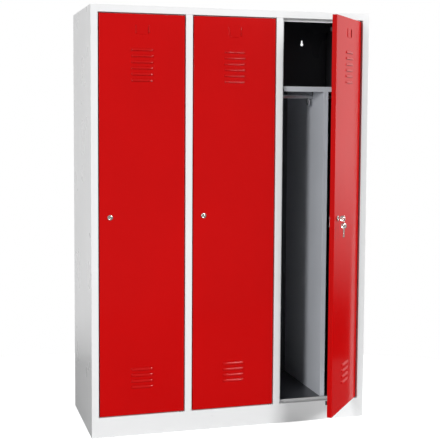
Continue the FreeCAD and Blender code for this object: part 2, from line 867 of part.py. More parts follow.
def hood(body, kind, plane, middle, levels, half, lean, wall):
    """A hood with leaning ends, lofted from its open edge back to the skin, or its hollow, one wall smaller.

    Levels are pairs of a place along the plane's normal and the depth that the hood stands out there."""
    base = SKIN_BACK + wall
    wide = half + lean * wall - 2 * wall
    sections = []
    for place, depth in levels:
        front = DOOR_FRONT - depth + wall
        narrow = wide - lean * (base - front)
        corners = [(-wide, base), (wide, base), (narrow, front), (-narrow, front)]
        origin = (middle, 0, place)
        if plane == "YZ_Plane":
            corners = [(along, across) for across, along in corners]
            origin = (0, middle, place)
        sketch = new_sketch(body, plane, origin)
        outline(sketch, corners)
        sections.append(sketch)
    feature = body.newObject(kind, "hood")
    feature.Profile = sections[0]
    feature.Sections = sections[1:]
    feature.Ruled = True
    doc.recompute()
    return feature


def door_stiffener(label, bay):
    """Hat section welded upright inside the door, between the two groups of louvres."""
    body = new_body(label)
    half = size.stiffener_width / 2
    crown = SKIN_BACK + size.stiffener_depth
    path = [
        (DOOR_MIDDLE - half - size.stiffener_flange, SKIN_BACK),
        (DOOR_MIDDLE - half, SKIN_BACK),
        (DOOR_MIDDLE - half, crown),
        (DOOR_MIDDLE + half, crown),
        (DOOR_MIDDLE + half, SKIN_BACK),
        (DOOR_MIDDLE + half + size.stiffener_flange, SKIN_BACK),
    ]
    foot, top = DOOR_FOOT + size.stiffener_rise, DOOR_TOP - size.stiffener_drop
    fold(body, "XY_Plane", path, LEFT_HAND, foot, top - foot)
    hang(body, bay)


def door_buffers(label, bay):
    """Rubber pads on the free edge's lip, which meet the door stop when the door is shut."""
    body = new_body(label)
    across = DOOR_LEFT + size.buffer_edge
    half, half_height = size.buffer_width / 2, size.buffer_height / 2
    length = STOP_FACE - size.buffer_gap - DOOR_BACK
    start = -(STOP_FACE - size.buffer_gap)
    for level in (DOOR_FOOT + size.buffer_level, DOOR_TOP - size.buffer_level):
        corners = rectangle(across - half, level - half_height, across + half, level + half_height)
        slab(body, "XZ_Plane", corners, start, length)
    hang(body, bay)


def lock_body(label, bay):
    """Lock case: a round face outside the door, and a barrel with two flats through it, bored for the plug."""
    body = new_body(label)
    bore = (0, 0, size.plug_radius + size.pivot_gap)
    face = new_sketch(body, "XZ_Plane", (LOCK_X, LOCK_LEVEL, -DOOR_FRONT))
    circles(face, (0, 0, size.lock_face_radius), bore)
    pad(body, face, size.lock_face)
    barrel = new_sketch(body, "XZ_Plane", (LOCK_X, LOCK_LEVEL, -(DOOR_FRONT + size.lock_barrel)))
    double_d(barrel, size.lock_barrel_radius, size.lock_flats)
    circles(barrel, bore)
    pad(body, barrel, size.lock_barrel)
    hang(body, bay)


def lock_clip(label, bay):
    """Fork that grips the barrel's flats and holds the lock case against the inside of the skin."""
    body = new_body(label)
    sketch = new_sketch(body, "XZ_Plane", (LOCK_X, LOCK_LEVEL, -(SKIN_BACK + size.clip_thickness)))
    slot, crown = size.lock_flats / 2, size.lock_barrel_radius
    half, top = slot + size.clip_margin, crown + size.clip_margin
    outline(sketch, [
        (-half, -crown),
        (-slot, -crown),
        (-slot, crown),
        (slot, crown),
        (slot, -crown),
        (half, -crown),
        (half, top),
        (-half, top),
    ])
    pad(body, sketch, size.clip_thickness)
    hang(body, bay)


def lock_plug(label, bay):
    """Round plug with a keyway in its face and a square tail for the cam."""
    body = new_body(label)
    origin = (LOCK_X, LOCK_LEVEL)
    barrel_end = DOOR_FRONT + size.lock_barrel
    front = new_sketch(body, "XZ_Plane", origin + (-barrel_end,))
    circles(front, (0, 0, size.plug_radius))
    pad(body, front, barrel_end - LOCK_FRONT)
    half_tail = size.plug_tail / 2
    tail = new_sketch(body, "XZ_Plane", origin + (-CAM_BACK,))
    outline(tail, rectangle(-half_tail, -half_tail, half_tail, half_tail))
    pad(body, tail, CAM_BACK - barrel_end)
    keyway = new_sketch(body, "XZ_Plane", origin + (-LOCK_FRONT,))
    half_width, half_height = size.keyway_width / 2, size.keyway_height / 2
    outline(keyway, rectangle(-half_width, -half_height, half_width, half_height))
    cut(body, keyway, size.keyway_depth)
    hang(body, bay)


def lock_cam(label, bay):
    """Flat tongue on the plug's tail; a quarter turn takes it behind the door stop."""
    body = new_body(label)
    sketch = new_sketch(body, "XZ_Plane", (LOCK_X, LOCK_LEVEL, -CAM_BACK))
    half, half_tail = size.cam_width / 2, size.plug_tail / 2
    outline(sketch, [
        (-half, half),
        (-half, size.cam_bevel - size.cam_length),
        (size.cam_bevel - half, -size.cam_length),
        (half - size.cam_bevel, -size.cam_length),
        (half, size.cam_bevel - size.cam_length),
        (half, half),
    ])
    outline(sketch, rectangle(-half_tail, -half_tail, half_tail, half_tail))
    pad(body, sketch, size.cam_thickness)
    hang(body, bay)


def key_bow(body, across, middle, hole):
    """Bevelled key bow with an eye for the ring, standing in the plane of the keyway."""
    sketch = new_sketch(body, "YZ_Plane", (0, 0, across))
    outline(sketch, bevelled(*middle, size.key_bow_half, size.key_bow_bevel))
    circles(sketch, hole + (size.key_hole_radius,))
    pad(body, sketch, size.key_thickness)


def key(label, bay):
    """Key left in the lock, its bow standing upright in front of the door."""
    body = new_body(label)
    across = LOCK_X - size.key_thickness / 2
    bow = LOCK_FRONT - size.key_shank - size.key_bow_half
    key_bow(body, across, (bow, LOCK_LEVEL), (KEY_HOLE_Y, LOCK_LEVEL))
    half = size.key_blade / 2
    blade = rectangle(
        bow + size.key_bow_half / 2,
        LOCK_LEVEL - half,
        LOCK_FRONT + size.keyway_depth - size.key_play,
        LOCK_LEVEL + half,
    )
    slab(body, "YZ_Plane", blade, across, size.key_thickness)
    hang(body, bay)


def key_ring(label, bay):
    """Flat ring through the eyes of both keys."""
    body = new_body(label)
    start = -(KEY_HOLE_Y + size.ring_wire / 2)
    centre = (LOCK_X, RING_TOP - size.ring_radius)
    rings = [
        centre + (size.ring_radius + size.ring_wire / 2,),
        centre + (size.ring_radius - size.ring_wire / 2,),
    ]
    disc(body, "XZ_Plane", rings, start, size.ring_wire)
    hang(body, bay)


def spare_key(label, bay):
    """Second key, hanging from the ring."""
    body = new_body(label)
    across = LOCK_X - size.key_thickness / 2
    bow = SPARE_HOLE - size.key_hole_offset
    key_bow(body, across, (KEY_HOLE_Y, bow), (KEY_HOLE_Y, SPARE_HOLE))
    half = size.key_blade / 2
    top = bow - size.key_bow_half / 2
    foot = bow - size.key_bow_half - size.key_length
    blade = rectangle(KEY_HOLE_Y - half, foot, KEY_HOLE_Y + half, top)
    slab(body, "YZ_Plane", blade, across, size.key_thickness)
    hang(body, bay)


side_panel("left_side_panel", -1)
side_panel("right_side_panel", 1)
for name, side in (("left", -1), ("right", 1)):
    post_line = side * size.bay_pitch / 2
    mullion(f"mullion_{name}", post_line)
    partition(f"partition_{name}", post_line)
back_panel("back_panel")
roof_panel("roof_panel")
floor_panel("floor_panel")
plinth_front("plinth_front")
for bay in BAYS:
    hat_shelf(f"hat_shelf_{bay}", bay)
    divider(f"divider_{bay}", bay)
    clothes_rail(f"clothes_rail_{bay}", bay)
    rail_brackets(f"rail_brackets_{bay}", bay)
    coat_hook(f"coat_hook_{bay}_left", bay, size.hook_left)
    coat_hook(f"coat_hook_{bay}_right", bay, size.hook_right)
    hinge_bushes(f"hinge_bushes_{bay}", bay)
    door_skin(f"door_skin_{bay}", bay)
    door_stiffener(f"door_stiffener_{bay}", bay)
    hinge_pins(f"hinge_pins_{bay}", bay)
    door_buffers(f"door_buffers_{bay}", bay)
    lock_body(f"lock_body_{bay}", bay)
    lock_clip(f"lock_clip_{bay}", bay)
    lock_plug(f"lock_plug_{bay}", bay)
    lock_cam(f"lock_cam_{bay}", bay)
key("key", BAYS[-1])
key_ring("key_ring", BAYS[-1])
spare_key("spare_key", BAYS[-1])

doc.recompute()
for item in doc.Objects:
    if "Invalid" in item.State or "Error" in item.State:
        raise RuntimeError(f"{item.Label} failed to build")
for body in nodes:
    if body.Shape.isNull() or not body.Shape.isValid():
        raise RuntimeError(f"{body.Label} has no valid shape")

os.makedirs("parts", exist_ok=True)
for body in nodes:
    body.Shape.exportStep(f"parts/{body.Label}.step")
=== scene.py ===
import math

import bpy
import numpy as np
from mathutils import Matrix, Vector


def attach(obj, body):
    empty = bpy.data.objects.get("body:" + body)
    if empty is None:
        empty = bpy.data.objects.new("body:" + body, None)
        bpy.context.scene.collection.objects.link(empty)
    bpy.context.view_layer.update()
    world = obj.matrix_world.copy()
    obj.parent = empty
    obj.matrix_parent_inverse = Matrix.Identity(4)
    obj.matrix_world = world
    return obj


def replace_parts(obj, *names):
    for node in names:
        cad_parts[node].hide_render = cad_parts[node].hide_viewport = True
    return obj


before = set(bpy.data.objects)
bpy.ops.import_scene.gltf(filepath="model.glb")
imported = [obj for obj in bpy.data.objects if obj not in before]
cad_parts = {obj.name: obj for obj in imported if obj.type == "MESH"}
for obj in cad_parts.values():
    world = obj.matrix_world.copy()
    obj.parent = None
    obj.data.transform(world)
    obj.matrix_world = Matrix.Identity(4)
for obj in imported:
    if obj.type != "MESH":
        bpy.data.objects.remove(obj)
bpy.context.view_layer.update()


# Viewpoint. The locker is seen from the left of its middle, a little above half its height,
# through a long lens, so that its left side shows as a narrow strip.
view_place = Vector((-1.2426, -4.0418, 1.3534))
view_yaw, view_pitch, view_roll = (math.radians(angle) for angle in (16.261, -4.317, 0.343))
picture_pixels, focal_pixels, lowered_pixels = 440.0, 991.6, 30.0
ahead = Vector((
    math.sin(view_yaw) * math.cos(view_pitch),
    math.cos(view_yaw) * math.cos(view_pitch),
    math.sin(view_pitch),
))
across = Vector((math.cos(view_yaw), -math.sin(view_yaw), 0.0))
upright = across.cross(ahead)
tilt_x = across * math.cos(view_roll) + upright * math.sin(view_roll)
tilt_y = upright * math.cos(view_roll) - across * math.sin(view_roll)

lens = bpy.data.cameras.new("viewpoint")
lens.sensor_width = 36.0
lens.lens = focal_pixels / picture_pixels * lens.sensor_width
lens.shift_y = -lowered_pixels / picture_pixels
lens.clip_end = 60.0
viewpoint = bpy.data.objects.new("viewpoint", lens)
bpy.context.collection.objects.link(viewpoint)
turned = Matrix((tilt_x, tilt_y, -ahead)).transposed().to_4x4()
viewpoint.matrix_world = Matrix.Translation(view_place) @ turned
bpy.context.scene.camera = viewpoint


# Studio light. Two large soft boxes stand in front, one on each side, and a small one on the far
# right lights the open door. The room is white behind the locker, grey behind the viewpoint and
# dark below, as mirrored in the coats; to the viewpoint itself it is plain white.
bpy.context.scene.view_settings.view_transform = "Standard"


def join(tree, *pairs):
    """Links pairs of sockets in a node tree."""
    for start, end in pairs:
        tree.links.new(start, end)


def ranged(tree, value, low, high, to_low, to_high):
    """Value mapped from one range to another, held inside it; both ranges may be sockets."""
    spread = tree.nodes.new("ShaderNodeMapRange")
    limits = (("From Min", low), ("From Max", high), ("To Min", to_low), ("To Max", to_high))
    for label, amount in limits:
        if isinstance(amount, (int, float)):
            spread.inputs[label].default_value = amount
        else:
            tree.links.new(amount, spread.inputs[label])
    tree.links.new(value, spread.inputs["Value"])
    return spread.outputs["Result"]


def worked(tree, operation, *amounts):
    """Result of a math node on sockets or fixed numbers."""
    step = tree.nodes.new("ShaderNodeMath")
    step.operation = operation
    for socket, amount in zip(step.inputs, amounts):
        if isinstance(amount, (int, float)):
            socket.default_value = amount
        else:
            tree.links.new(amount, socket)
    return step.outputs[0]


room = bpy.data.worlds.new("pale_room")
room.use_nodes = True
bpy.context.scene.world = room
air = room.node_tree
air.nodes.clear()
rays = air.nodes.new("ShaderNodeLightPath").outputs
heading = air.nodes.new("ShaderNodeSeparateXYZ")
backdrop = air.nodes.new("ShaderNodeBackground")
backdrop.inputs["Color"].default_value = (1.0, 1.0, 1.0, 1.0)
sky = air.nodes.new("ShaderNodeOutputWorld")
join(air, (air.nodes.new("ShaderNodeTexCoord").outputs["Generated"], heading.inputs[0]))

front_glow, back_glow, wall_glow = 0.45, 1.0, 0.92
behind = ranged(air, heading.outputs["Y"], -0.05, 0.45, front_glow, back_glow)
dark_below = ranged(air, heading.outputs["X"], 0.0, 1.0, -0.245, -0.175)
white_above = ranged(air, heading.outputs["X"], 0.0, 1.0, -0.205, -0.015)
raised = ranged(air, heading.outputs["Z"], dark_below, white_above, 0.0, wall_glow)
mirrored = worked(air, "MULTIPLY", behind, raised)

front_fill, back_fill = 0.17, 0.68
around = ranged(air, heading.outputs["Y"], -0.1, 0.7, front_fill, back_fill)
unseen = ranged(air, rays["Is Glossy Ray"], 0.0, 1.0, around, mirrored)
seen = worked(air, "MAXIMUM", rays["Is Camera Ray"], rays["Is Transmission Ray"])
join(
    air,
    (ranged(air, seen, 0.0, 1.0, unseen, 1.0), backdrop.inputs["Strength"]),
    (backdrop.outputs[0], sky.inputs["Surface"]),
)


def soft_box(name, place, aim, width, height, power):
    """A rectangular lamp at place, turned to shine at aim."""
    lamp = bpy.data.lights.new(name, "AREA")
    lamp.shape = "RECTANGLE"
    lamp.size = width
    lamp.size_y = height
    lamp.energy = power
    holder = bpy.data.objects.new(name, lamp)
    bpy.context.collection.objects.link(holder)
    heading = (Vector(aim) - Vector(place)).to_track_quat("-Z", "Y")
    holder.matrix_world = Matrix.Translation(Vector(place)) @ heading.to_matrix().to_4x4()


soft_box("right_soft_box", (4.2, -8.2, 5.0), (0.0, 0.0, 0.9), width=2.8, height=3.1, power=560.0)
soft_box("left_soft_box", (-4.9, -5.3, 2.6), (0.0, 0.0, 0.95), width=1.1, height=2.6, power=225.0)
soft_box("door_soft_box", (3.1, -0.2, 1.75), (0.45, -0.13, 1.0), width=0.9, height=1.6, power=42.0)


# Studio floor: a sheet of white paper that keeps the locker's soft shadow near its foot.
# Its rim fades into the white surroundings, and it is dark where the coats mirror it.
sheet = bpy.data.meshes.new("studio_floor")
corners = np.array([
    [-2.4, -2.6, 0.0], [1.5, -2.6, 0.0], [1.5, 0.8, 0.0], [0.3, 1.5, 0.0], [-2.4, 1.5, 0.0],
])
sheet.from_pydata(corners.tolist(), [], [(0, 1, 2, 3, 4)])
studio_floor = bpy.data.objects.new("studio_floor", sheet)
bpy.context.collection.objects.link(studio_floor)
pale = bpy.data.materials.new("white_paper")
pale.use_nodes = True
tree = pale.node_tree
tree.nodes.clear()
rays = tree.nodes.new("ShaderNodeLightPath").outputs
matte = tree.nodes.new("ShaderNodeBsdfDiffuse")
lift = tree.nodes.new("ShaderNodeEmission")
both = tree.nodes.new("ShaderNodeAddShader")
surface = tree.nodes.new("ShaderNodeOutputMaterial")
spot = tree.nodes.new("ShaderNodeVectorMath")
spot.operation = "DISTANCE"
spot.inputs[1].default_value = (0.0, 0.2, 0.0)
join(tree, (tree.nodes.new("ShaderNodeTexCoord").outputs["Object"], spot.inputs[0]))
shadow_reach, rim_reach, shadow_glow, rim_glow = 0.7, 1.5, 0.72, 1.0
glow = ranged(tree, spot.outputs["Value"], shadow_reach, rim_reach, shadow_glow, rim_glow)
paper = tree.nodes.new("ShaderNodeMix")
paper.data_type = "RGBA"
paper.inputs[6].default_value = (0.84, 0.84, 0.84, 1.0)
paper.inputs[7].default_value = (0.09, 0.09, 0.09, 1.0)
join(
    tree,
    (rays["Is Glossy Ray"], paper.inputs[0]),
    (paper.outputs[2], matte.inputs["Color"]),
    (worked(tree, "MULTIPLY", rays["Is Camera Ray"], glow), lift.inputs["Strength"]),
    (matte.outputs[0], both.inputs[0]),
    (lift.outputs[0], both.inputs[1]),
    (both.outputs[0], surface.inputs["Surface"]),
)
sheet.materials.append(pale)


# Carcass: folded steel sheet, welded together and powder coated light grey in one go.
# The coat has a fine orange peel and pools a little unevenly over the large panels.
# Inside the bays the coat is painted dark grey as painted shade, for the shade that falls there, and
# small spot welds show on the back along each fold.
def node_group(name, inputs, outputs):
    """An empty shader group with float or colour sockets, and its two end nodes."""
    group = bpy.data.node_groups.new(name, "ShaderNodeTree")
    for label, kind, value in inputs:
        socket = group.interface.new_socket(label, in_out="INPUT", socket_type=kind)
        socket.default_value = value
    for label, kind in outputs:
        group.interface.new_socket(label, in_out="OUTPUT", socket_type=kind)
    return group, group.nodes.new("NodeGroupInput"), group.nodes.new("NodeGroupOutput")


def noise(tree, place, scale, detail, roughness):
    """Noise texture on a coordinate socket."""
    texture = tree.nodes.new("ShaderNodeTexNoise")
    texture.inputs["Scale"].default_value = scale
    texture.inputs["Detail"].default_value = detail
    texture.inputs["Roughness"].default_value = roughness
    tree.links.new(place, texture.inputs["Vector"])
    return texture.outputs["Fac"]


def mixed(tree, factor, first, second):
    """Colour mix of two sockets or fixed colours."""
    blend = tree.nodes.new("ShaderNodeMix")
    blend.data_type = "RGBA"
    for number, amount in ((0, factor), (6, first), (7, second)):
        if isinstance(amount, tuple):
            blend.inputs[number].default_value = (*amount, 1.0)
        else:
            tree.links.new(amount, blend.inputs[number])
    return blend.outputs[2]


coat, given, put_out = node_group(
    "powder_coat",
    [
        ("Paint", "NodeSocketColor", (0.8, 0.8, 0.8, 1.0)),
        ("Pooling", "NodeSocketFloat", 0.04),
        ("Gloss", "NodeSocketFloat", 0.4),
    ],
    [("Color", "NodeSocketColor"), ("Roughness", "NodeSocketFloat"), ("Peel", "NodeSocketFloat")],
)
place = coat.nodes.new("ShaderNodeTexCoord").outputs["Object"]
broad = noise(coat, place, scale=2.6, detail=3.0, roughness=0.55)
uneven = noise(coat, place, scale=6.0, detail=2.0, roughness=0.5)
orange_peel = noise(coat, place, scale=620.0, detail=1.0, roughness=0.4)
pooled = worked(
    coat, "MULTIPLY_ADD", ranged(coat, broad, 0.3, 0.7, -1.0, 1.0), given.outputs["Pooling"], 1.0,
)
gloss = worked(coat, "ADD", ranged(coat, uneven, 0.3, 0.7, -0.008, 0.008), given.outputs["Gloss"])
shade = coat.nodes.new("ShaderNodeVectorMath")
shade.operation = "SCALE"
join(
    coat,
    (given.outputs["Paint"], shade.inputs[0]),
    (pooled, shade.inputs["Scale"]),
    (shade.outputs[0], put_out.inputs["Color"]),
    (gloss, put_out.inputs["Roughness"]),
    (orange_peel, put_out.inputs["Peel"]),
)

bay_shade, given, put_out = node_group(
    "bay_shade",
    [
        ("Middle", "NodeSocketVector", (0.0, 0.0, 0.0)),
        ("Half", "NodeSocketVector", (1.0, 1.0, 1.0)),
    ],
    [("Inside", "NodeSocketFloat")],
)
place = bay_shade.nodes.new("ShaderNodeTexCoord").outputs["Object"]
offset = bay_shade.nodes.new("ShaderNodeVectorMath")
offset.operation = "SUBTRACT"
share = bay_shade.nodes.new("ShaderNodeVectorMath")
share.operation = "DIVIDE"
spread = bay_shade.nodes.new("ShaderNodeVectorMath")
spread.operation = "ABSOLUTE"
parts = bay_shade.nodes.new("ShaderNodeSeparateXYZ")
join(
    bay_shade,
    (place, offset.inputs[0]),
    (given.outputs["Middle"], offset.inputs[1]),
    (offset.outputs[0], share.inputs[0]),
    (given.outputs["Half"], share.inputs[1]),
    (share.outputs[0], spread.inputs[0]),
    (spread.outputs[0], parts.inputs[0]),
)
wider = worked(bay_shade, "MAXIMUM", parts.outputs[0], parts.outputs[1])
widest = worked(bay_shade, "MAXIMUM", wider, parts.outputs[2])
join(bay_shade, (worked(bay_shade, "LESS_THAN", widest, 1.0), put_out.inputs["Inside"]))

weld_lines = (-0.607, -0.194, 0.206, 0.607)
back_face = 0.499
weld_marks, given, put_out = node_group(
    "weld_marks",
    [("Pitch", "NodeSocketFloat", 0.12), ("Radius", "NodeSocketFloat", 0.003)],
    [("Mark", "NodeSocketFloat")],
)
place = weld_marks.nodes.new("ShaderNodeTexCoord").outputs["Object"]
parts = weld_marks.nodes.new("ShaderNodeSeparateXYZ")
join(weld_marks, (place, parts.inputs[0]))
pitch, radius = given.outputs["Pitch"], given.outputs["Radius"]
sideways = 1.0
for line in weld_lines:
    aside = worked(weld_marks, "ABSOLUTE", worked(weld_marks, "SUBTRACT", parts.outputs[0], line))
    sideways = worked(weld_marks, "MINIMUM", aside, sideways)
step = worked(weld_marks, "FRACT", worked(weld_marks, "DIVIDE", parts.outputs[2], pitch))
upwards = worked(weld_marks, "MULTIPLY", worked(weld_marks, "SUBTRACT", step, 0.5), pitch)
squares = [worked(weld_marks, "MULTIPLY", length, length) for length in (sideways, upwards)]
away = worked(weld_marks, "SQRT", worked(weld_marks, "ADD", *squares))
mark = ranged(weld_marks, away, worked(weld_marks, "MULTIPLY", radius, 0.6), radius, 1.0, 0.0)
outside = worked(weld_marks, "GREATER_THAN", parts.outputs[1], back_face)
join(weld_marks, (worked(weld_marks, "MULTIPLY", mark, outside), put_out.inputs["Mark"]))


def painted(name, paint, pooling, gloss_level, specular):
    """Powder coated steel: the coat's colour and roughness, with its orange peel as a fine bump."""
    material = bpy.data.materials.new(name)
    material.use_nodes = True
    tree = material.node_tree
    shader = tree.nodes["Principled BSDF"]
    shader.inputs["Specular IOR Level"].default_value = specular
    layer = tree.nodes.new("ShaderNodeGroup")
    layer.name = "coat"
    layer.node_tree = coat
    layer.inputs["Paint"].default_value = (*paint, 1.0)
    layer.inputs["Pooling"].default_value = pooling
    layer.inputs["Gloss"].default_value = gloss_level
    peel = tree.nodes.new("ShaderNodeBump")
    peel.name = "peel"
    peel.inputs["Strength"].default_value = 0.03
    peel.inputs["Distance"].default_value = 0.0004
    join(
        tree,
        (layer.outputs["Color"], shader.inputs["Base Color"]),
        (layer.outputs["Roughness"], shader.inputs["Roughness"]),
        (layer.outputs["Peel"], peel.inputs["Height"]),
        (peel.outputs["Normal"], shader.inputs["Normal"]),
    )
    return material


def dress(material, *prefixes):
    """Gives the CAD nodes whose names start so a material in place of their own."""
    for name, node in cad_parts.items():
        if name.startswith(prefixes):
            node.data.materials.clear()
            node.data.materials.append(material)


light_grey, painted_bay_shade_grey, weld_grey = (0.82, 0.825, 0.83), (0.092, 0.095, 0.108), (0.45, 0.44, 0.42)
frame_coat = painted("light_grey_coat", light_grey, pooling=0.02, gloss_level=0.28, specular=0.35)
dress(frame_coat, "mullion", "plinth_front")

shell_coat = painted("grey_coat_with_painted_bay_shade", light_grey, pooling=0.02, gloss_level=0.28, specular=0.35)
tree = shell_coat.node_tree
inside = tree.nodes.new("ShaderNodeGroup")
inside.node_tree = bay_shade
inside.inputs["Middle"].default_value = (0.0, 0.2646, 0.9476)
inside.inputs["Half"].default_value = (0.6146, 0.2342, 0.8520)
# Painted shade: inside the bays the light grey gives way to a dark grey that stands in for the shade
# there.
painted_bay_shade_tone = mixed(tree, inside.outputs["Inside"], light_grey, painted_bay_shade_grey)
welds = tree.nodes.new("ShaderNodeGroup")
welds.node_tree = weld_marks
weld_tint = worked(tree, "MULTIPLY", welds.outputs["Mark"], 0.25)
dimples = tree.nodes.new("ShaderNodeBump")
dimples.invert = True
dimples.inputs["Strength"].default_value = 0.6
dimples.inputs["Distance"].default_value = 0.0008
join(
    tree,
    (mixed(tree, weld_tint, painted_bay_shade_tone, weld_grey), tree.nodes["coat"].inputs["Paint"]),
    (welds.outputs["Mark"], dimples.inputs["Height"]),
    (tree.nodes["peel"].outputs["Normal"], dimples.inputs["Normal"]),
    (dimples.outputs["Normal"], tree.nodes["Principled BSDF"].inputs["Normal"]),
)
dress(shell_coat, "left_side", "right_side", "partition", "back_panel", "roof_panel", "floor_panel")


# Hat shelves and dividers: inner sheets of the carcass, welded in and coated light grey, painted a
# cooler blue-grey as painted cool light falling in the bays.
# Each shelf lip is folded under, and each divider has a groove pressed into its front fold.
# Painted light: the blue tint stands in for the cool light in the bays, not for a paint of its own.
painted_cool_light_grey = (0.82, 0.85, 0.91)
shelf_coat = painted("grey_coat_painted_cool_light", painted_cool_light_grey, pooling=0.03, gloss_level=0.38, specular=0.35)
dress(shelf_coat, "hat_shelf", "divider")


# Doors: pans of the same sheet, folded back on four sides, with a stiffener welded inside.
# They are coated signal red on all faces and hang on pivot studs. Light that they throw on other
# pieces is toned down, as the pale frame shows hardly any of it, but the narrow gaps stay red.
def signal_red(name, gloss_level, specular):
    """The doors' red coat; light that it throws further than a door gap is nearly grey."""
    material = painted(name, (0.54, 0.0028, 0.0030), 0.03, gloss_level, specular)
    tree = material.node_tree
    rays = tree.nodes.new("ShaderNodeLightPath").outputs
    beyond_gap = worked(tree, "GREATER_THAN", rays["Ray Length"], 0.02)
    far_thrown = worked(tree, "MULTIPLY", rays["Is Diffuse Ray"], beyond_gap)
    coloured = mixed(tree, far_thrown, tree.nodes["coat"].outputs["Color"], (0.16, 0.14, 0.14))
    join(tree, (coloured, tree.nodes["Principled BSDF"].inputs["Base Color"]))
    return material


red_coat = signal_red("signal_red_coat", gloss_level=0.14, specular=0.12)
dress(red_coat, "door_skin", "door_stiffener")


# Louvre hoods and label tongues: pressed out of each door's skin in one stroke, open along one edge.
# The sheet is drawn into a smooth hood with rounded ends, and its cut lip shows the thickness.
# Louvres open downwards; the three tongues that hold a card open towards its middle.
hinge_across, hinge_setback = (-230.0, 170.0, 570.0), 8.0
stands_open = (0.0, 0.0, 50.0)


def on_door(bay, points):
    """Points about a door's hinge axis, in millimetres, turned as far as the door stands open."""
    angle = math.radians(stands_open[bay - 1])
    x, y, z = np.moveaxis(points, -1, 0)
    return 0.001 * np.stack([
        hinge_across[bay - 1] + x * math.cos(angle) - y * math.sin(angle),
        hinge_setback + x * math.sin(angle) + y * math.cos(angle),
        z,
    ], axis=-1)


def quads(rows, columns, round_rows=False, round_columns=False):
    """Corner numbers of the squares of a grid, which may close on itself either way."""
    row = np.arange(rows if round_rows else rows - 1)[:, None]
    column = np.arange(columns if round_columns else columns - 1)[None, :]
    near, far = row * columns, (row + 1) % rows * columns
    left, right = column, (column + 1) % columns
    return np.stack([near + left, near + right, far + right, far + left], axis=-1).reshape(-1, 4)


def tube_quads(rows, columns):
    """Corner numbers of a tube whose rows run round it; a fan of squares closes each end."""
    turn = np.arange(1, rows - 2, 2)
    fan = np.stack([0 * turn, turn, turn + 1, turn + 2], axis=-1) * columns
    return np.concatenate([quads(rows, columns, round_rows=True), fan, fan[:, ::-1] + columns - 1])


def outward(points, squares):
    """The squares of a closed shell, in the corner order that turns its faces outwards."""
    a, b, c, d = np.moveaxis(points[squares], 1, 0)
    volume = np.sum(np.cross(a, b) * c + np.cross(a, c) * d)
    return squares if volume > 0.0 else squares[:, ::-1]


def new_piece(name, shells, material, body):
    """A smooth mesh from closed shells of points and squares, which rides on a body."""
    counts = np.cumsum([0] + [len(points) for points, squares in shells])
    points = np.concatenate([points for points, squares in shells])
    squares = np.concatenate([outward(*shell) + first for shell, first in zip(shells, counts)])
    mesh = bpy.data.meshes.new(name)
    mesh.from_pydata(points.tolist(), [], squares.tolist())
    mesh.polygons.foreach_set("use_smooth", np.ones(len(squares), bool))
    mesh.materials.append(material)
    piece = bpy.data.objects.new(name, mesh)
    bpy.context.collection.objects.link(piece)
    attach(piece, body)
    return piece


def pressed_hood(half, drawn, tall, slope=0.0, bluntness=2, thick=0.7):
    """An even slope from the lip, times a super-ellipse back to the skin and a blunter one along it.

    The rows begin behind the lip and run round the sheet, whose inside lies in the door's skin."""
    skin, lip_round, overhang = -7.95, 0.15, 0.25
    along = 0.9999 * np.sin(np.linspace(-0.5, 0.5, 49) * math.pi)[None, :]
    back = np.sin(np.linspace(0.0, 0.5, 13) * math.pi)[:, None]
    swell = (1.0 - np.abs(along) ** 8) ** 0.5
    outer = skin - (drawn - slope * tall * back) * swell * np.sqrt(1.0 - back ** bluntness)
    inner = np.minimum(outer[:1] + thick, skin)
    depth = np.concatenate([inner, inner, outer[:1], outer])
    face = lip_round + (tall - lip_round) * back
    rise = np.concatenate([[[0.25 * tall]], [[lip_round]], [[0.0]], face]) - overhang
    return np.broadcast_arrays(half * along, depth, rise)


door_middle = -170.0
louvre_levels = np.concatenate([1492.0 + 25.0 * np.arange(6), 205.0 + 25.0 * np.arange(4)])
card_half, card_level, card_foot = 25.0, 1703.0, 1685.0
hood_coat = signal_red("drawn_red_coat", gloss_level=0.14, specular=0.2)
for bay in (1, 2, 3):
    hoods = []
    along, depth, rise = pressed_hood(half=47.0, drawn=5.95, tall=10.0, slope=0.285, bluntness=6)
    for level in louvre_levels:
        hoods.append(np.stack([door_middle + along, depth, level + rise], axis=-1))
    along, depth, rise = pressed_hood(half=18.5, drawn=2.75, tall=4.8)
    hoods.append(np.stack([door_middle - card_half - rise, depth, card_level + along], axis=-1))
    hoods.append(np.stack([door_middle + card_half + rise, depth, card_level - along], axis=-1))
    along, depth, rise = pressed_hood(half=16.0, drawn=1.6, tall=4.0)
    hoods.append(np.stack([door_middle - along, depth, card_foot - rise], axis=-1))
    shells = [(on_door(bay, hood).reshape(-1, 3), tube_quads(*hood.shape[:2])) for hood in hoods]
    new_piece(f"pressed_hoods_{bay}", shells, hood_coat, f"door_{bay}")


# Rails, cradles, hooks, pivot studs, clips and cams: small steel pieces, cut, bent or stamped.
# They are zinc plated, which leaves them pale and slightly cloudy. The cradles carry the rails,
# and the hooks slide along them; studs, clips and cams hold and lock the doors.
def plated(name, dull, bright, smooth, rough, cloud_scale, cloud_detail):
    """Plated metal whose colour and roughness both follow one cloudy noise."""
    material = bpy.data.materials.new(name)
    material.use_nodes = True
    tree = material.node_tree
    shader = tree.nodes["Principled BSDF"]
    shader.inputs["Metallic"].default_value = 1.0
    place = tree.nodes.new("ShaderNodeTexCoord").outputs["Object"]
    cloud = noise(tree, place, cloud_scale, cloud_detail, 0.6)
    join(
        tree,
        (mixed(tree, cloud, dull, bright), shader.inputs["Base Color"]),
        (ranged(tree, cloud, 0.3, 0.7, smooth, rough), shader.inputs["Roughness"]),
    )
    return material


zinc = plated("zinc_plate", (0.50, 0.51, 0.52), (0.72, 0.73, 0.74), 0.26, 0.42, 70.0, 4.0)
dress(zinc, "clothes_rail", "rail_brackets", "coat_hook", "hinge_pins", "lock_clip", "lock_cam")


